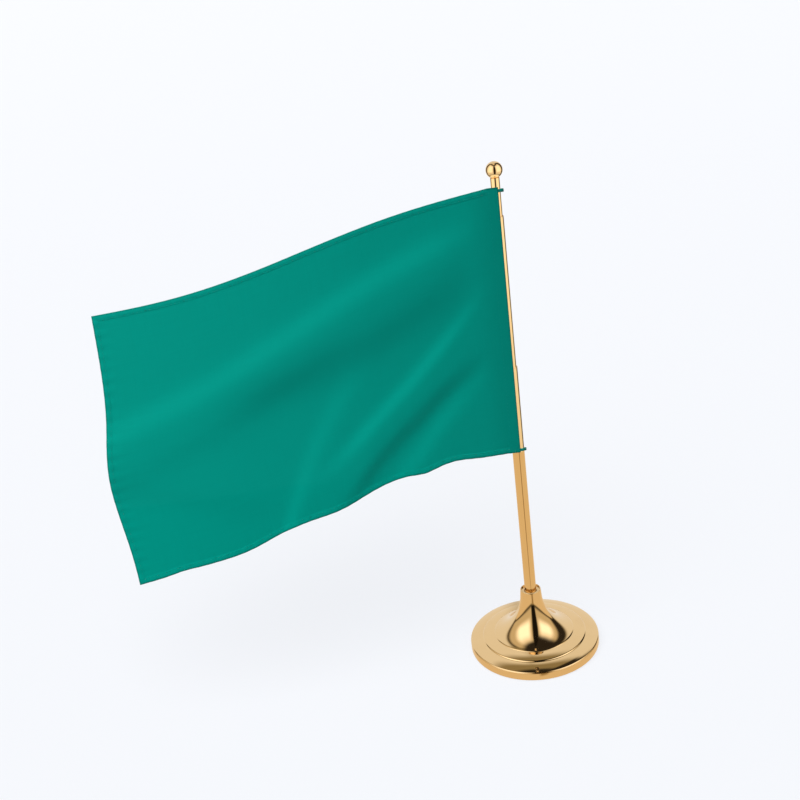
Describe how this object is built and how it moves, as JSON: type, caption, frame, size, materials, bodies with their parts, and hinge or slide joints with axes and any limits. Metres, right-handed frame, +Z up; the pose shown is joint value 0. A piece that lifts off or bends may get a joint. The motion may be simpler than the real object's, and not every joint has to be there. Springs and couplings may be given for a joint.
{
  "type": "desk flag stand",
  "caption": "Table flag on a telescopic polished brass pole with a ball finial, standing in a heavy round stepped base; the plain satin flag hangs by two loops and swings round the pole.",
  "frame": {"origin": "centre of the underside of the base, on the axis of the pole", "axes": "+Z up the pole, +X away from the flag, which hangs towards -X; -Y is the side of the pole that the flag's hoist lies on"},
  "size_m": [0.2702, 0.079, 0.3031],
  "materials": {
    "polished_brass": "polished and lacquered",
    "spring_brass": "plain drawn",
    "zinc_steel": "zinc plated",
    "cast_iron": "painted casting",
    "black_felt": "felt",
    "satin_cloth": "satin weave",
    "satin_ribbon": "satin ribbon"
  },
  "bodies": {
    "base": {"base_cover": "polished_brass", "base_rim": "polished_brass", "base_weight": "cast_iron", "base_pad": "black_felt", "pole_socket": "polished_brass", "clamp_washer": "zinc_steel", "clamp_nut": "zinc_steel"},
    "lower_pole": {"lower_tube": "polished_brass", "foot_plug": "zinc_steel"},
    "middle_pole": {"middle_tube": "polished_brass", "middle_sleeve": "spring_brass"},
    "upper_pole": {"upper_tube": "polished_brass", "upper_sleeve": "spring_brass", "top_insert": "spring_brass"},
    "finial": {"finial_ball": "polished_brass", "finial_stud": "zinc_steel"},
    "flag": {"flag_cloth": "satin_cloth", "hoist_band": "satin_cloth", "top_loop": "satin_ribbon", "bottom_loop": "satin_ribbon"}
  },
  "joints": [
    {"name": "pole_lift", "type": "slide", "parent": "base", "child": "lower_pole", "axis": [0, 0, 1], "range_m": [0, 0.03]},
    {"name": "middle_slide", "type": "slide", "parent": "lower_pole", "child": "middle_pole", "axis": [0, 0, 1], "range_m": [-0.06, 0.06]},
    {"name": "upper_slide", "type": "slide", "parent": "middle_pole", "child": "upper_pole", "axis": [0, 0, 1], "range_m": [-0.018, 0.12]},
    {"name": "finial_lift", "type": "slide", "parent": "upper_pole", "child": "finial", "axis": [0, 0, 1], "range_m": [0, 0.012]},
    {"name": "flag_swivel", "type": "hinge", "parent": "upper_pole", "child": "flag", "pos_m": [0, 0, 0.21], "axis": [0, 0, 1], "continuous": true}
  ]
}
